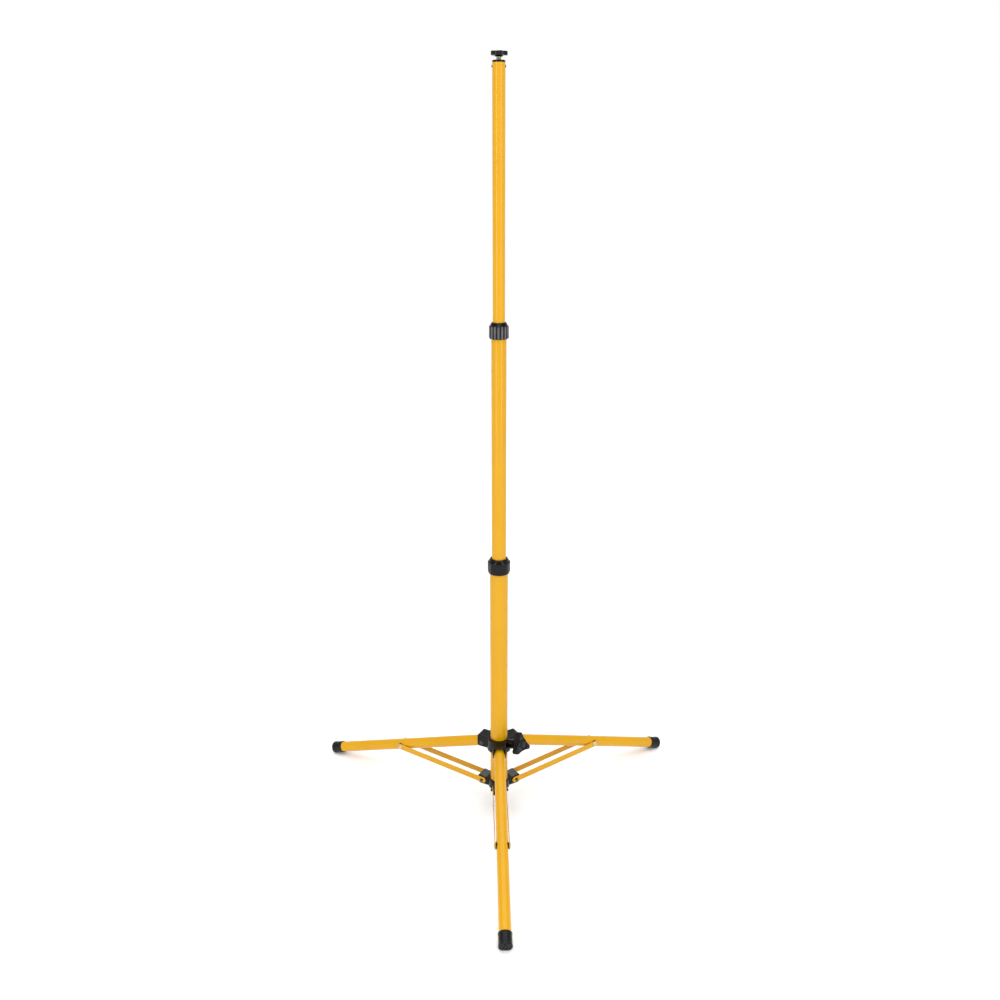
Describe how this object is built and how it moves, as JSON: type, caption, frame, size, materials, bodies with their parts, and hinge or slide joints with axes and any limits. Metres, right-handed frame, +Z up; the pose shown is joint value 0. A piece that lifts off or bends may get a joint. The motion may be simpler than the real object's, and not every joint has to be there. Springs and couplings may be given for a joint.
{
  "type": "telescopic tripod stand",
  "caption": "Folding tripod stand with a telescopic mast, twist locks, a sliding leg hub and a threaded stud with a knob on top for fastening a work light.",
  "frame": {"origin": "point on the floor below the mast axis", "axes": "+Z up along the mast, front leg along -Y, +X to the right seen from the front"},
  "size_m": [0.6734, 0.5858, 1.309],
  "materials": {
    "yellow_paint": "smooth gloss powder coat",
    "black_plastic": "fine grained moulding",
    "grey_nylon": "smooth moulding",
    "black_nylon": "smooth moulding",
    "black_rubber": "matt",
    "zinc_steel": "bright zinc plate",
    "black_steel": "blackened, satin",
    "brass": "turned"
  },
  "bodies": {
    "mast_base": {"lower_tube": "yellow_paint", "spider": "black_plastic", "spider_axles": "black_steel", "mast_end_plug": "grey_nylon", "spider_screw": "zinc_steel", "lower_lock_body": "grey_nylon", "lower_lock_collet": "grey_nylon"},
    "lower_nut": {"lower_lock_nut": "black_plastic"},
    "middle_section": {"middle_tube": "yellow_paint", "middle_bush": "grey_nylon", "upper_lock_body": "grey_nylon", "upper_lock_collet": "grey_nylon"},
    "upper_nut": {"upper_lock_nut": "black_plastic"},
    "upper_section": {"upper_tube": "yellow_paint", "upper_bush": "grey_nylon", "top_plug": "black_plastic", "plug_pins": "black_steel", "lamp_stud": "zinc_steel"},
    "lamp_knob_thread": {"lamp_knob_insert": "brass"},
    "lamp_knob_grip": {"lamp_knob": "black_plastic"},
    "hub": {"leg_hub": "black_plastic", "hub_pins": "black_steel", "clamp_nut": "black_steel"},
    "clamp_thrust": {"clamp_pad": "grey_nylon"},
    "clamp_grip": {"clamp_screw": "black_steel", "clamp_knob": "black_plastic"},
    "leg_front": {"leg_tube_front": "yellow_paint", "leg_plug_front": "grey_nylon", "foot_cap_front": "black_rubber", "brace_rivet_front": "zinc_steel", "brace_spacers_front": "black_nylon"},
    "braces_front": {"brace_front_a": "yellow_paint", "brace_front_b": "yellow_paint", "brace_end_rivets_front": "black_steel"},
    "leg_right": {"leg_tube_right": "yellow_paint", "leg_plug_right": "grey_nylon", "foot_cap_right": "black_rubber", "brace_rivet_right": "zinc_steel", "brace_spacers_right": "black_nylon"},
    "braces_right": {"brace_right_a": "yellow_paint", "brace_right_b": "yellow_paint", "brace_end_rivets_right": "black_steel"},
    "leg_left": {"leg_tube_left": "yellow_paint", "leg_plug_left": "grey_nylon", "foot_cap_left": "black_rubber", "brace_rivet_left": "zinc_steel", "brace_spacers_left": "black_nylon"},
    "braces_left": {"brace_left_a": "yellow_paint", "brace_left_b": "yellow_paint", "brace_end_rivets_left": "black_steel"}
  },
  "joints": [
    {"name": "hub_slide", "type": "slide", "parent": "mast_base", "child": "hub", "axis": [0, 0, 1], "range_m": [0, 0.29643]},
    {"name": "lower_lock_turn", "type": "hinge", "parent": "mast_base", "child": "lower_nut", "pos_m": [0, 0, 0.485], "axis": [0, 0, 1], "range_deg": [0, 180]},
    {"name": "middle_slide", "type": "slide", "parent": "mast_base", "child": "middle_section", "axis": [0, 0, 1], "range_m": [-0.374, 0]},
    {"name": "upper_lock_turn", "type": "hinge", "parent": "middle_section", "child": "upper_nut", "pos_m": [0, 0, 0.89], "axis": [0, 0, 1], "range_deg": [0, 180]},
    {"name": "upper_slide", "type": "slide", "parent": "middle_section", "child": "upper_section", "axis": [0, 0, 1], "range_m": [-0.374, 0]},
    {"name": "lamp_knob_lift", "type": "slide", "parent": "upper_section", "child": "lamp_knob_thread", "axis": [0, 0, 1], "range_m": [-0.0023, 0.0025]},
    {"name": "lamp_knob_turn", "type": "hinge", "parent": "lamp_knob_thread", "child": "lamp_knob_grip", "pos_m": [0, 0, 1.305], "axis": [0, 0, 1], "range_deg": [-662, 719]},
    {"name": "clamp_pad_slide", "type": "slide", "parent": "hub", "child": "clamp_thrust", "axis": [0.7595, -0.5724, 0.309], "range_m": [0, 0.0025]},
    {"name": "clamp_turn", "type": "hinge", "parent": "clamp_thrust", "child": "clamp_grip", "pos_m": [0.03646, -0.02747, 0.14538], "axis": [0.7595, -0.5724, 0.309], "range_deg": [0, 721]},
    {"name": "leg_front_fold", "type": "hinge", "parent": "hub", "child": "leg_front", "pos_m": [0, -0.031, 0.12965], "axis": [1, 0, 0], "range_deg": [0, 67.08]},
    {"name": "braces_front_fold", "type": "hinge", "parent": "leg_front", "child": "braces_front", "pos_m": [0, -0.21299, 0.06723], "axis": [1, 0, 0], "range_deg": [-147.51, 0]},
    {"name": "leg_right_fold", "type": "hinge", "parent": "hub", "child": "leg_right", "pos_m": [0.02685, 0.0155, 0.12965], "axis": [-0.5, 0.866, 0], "range_deg": [0, 67.08]},
    {"name": "braces_right_fold", "type": "hinge", "parent": "leg_right", "child": "braces_right", "pos_m": [0.18446, 0.1065, 0.06723], "axis": [-0.5, 0.866, 0], "range_deg": [-147.51, 0]},
    {"name": "leg_left_fold", "type": "hinge", "parent": "hub", "child": "leg_left", "pos_m": [-0.02685, 0.0155, 0.12965], "axis": [-0.5, -0.866, 0], "range_deg": [0, 67.08]},
    {"name": "braces_left_fold", "type": "hinge", "parent": "leg_left", "child": "braces_left", "pos_m": [-0.18446, 0.1065, 0.06723], "axis": [-0.5, -0.866, 0], "range_deg": [-147.51, 0]}
  ],
  "couplings": [
    {"joint": "lamp_knob_lift", "follows": "lamp_knob_turn", "m_per_rad": 0.00019894},
    {"joint": "clamp_turn", "follows": "clamp_pad_slide", "rad_per_m": 5026.5},
    {"joint": "leg_front_fold", "follows": "hub_slide", "rad_per_m": 3.949},
    {"joint": "braces_front_fold", "follows": "hub_slide", "rad_per_m": -8.6845},
    {"joint": "leg_right_fold", "follows": "hub_slide", "rad_per_m": 3.949},
    {"joint": "braces_right_fold", "follows": "hub_slide", "rad_per_m": -8.6845},
    {"joint": "leg_left_fold", "follows": "hub_slide", "rad_per_m": 3.949},
    {"joint": "braces_left_fold", "follows": "hub_slide", "rad_per_m": -8.6845}
  ]
}
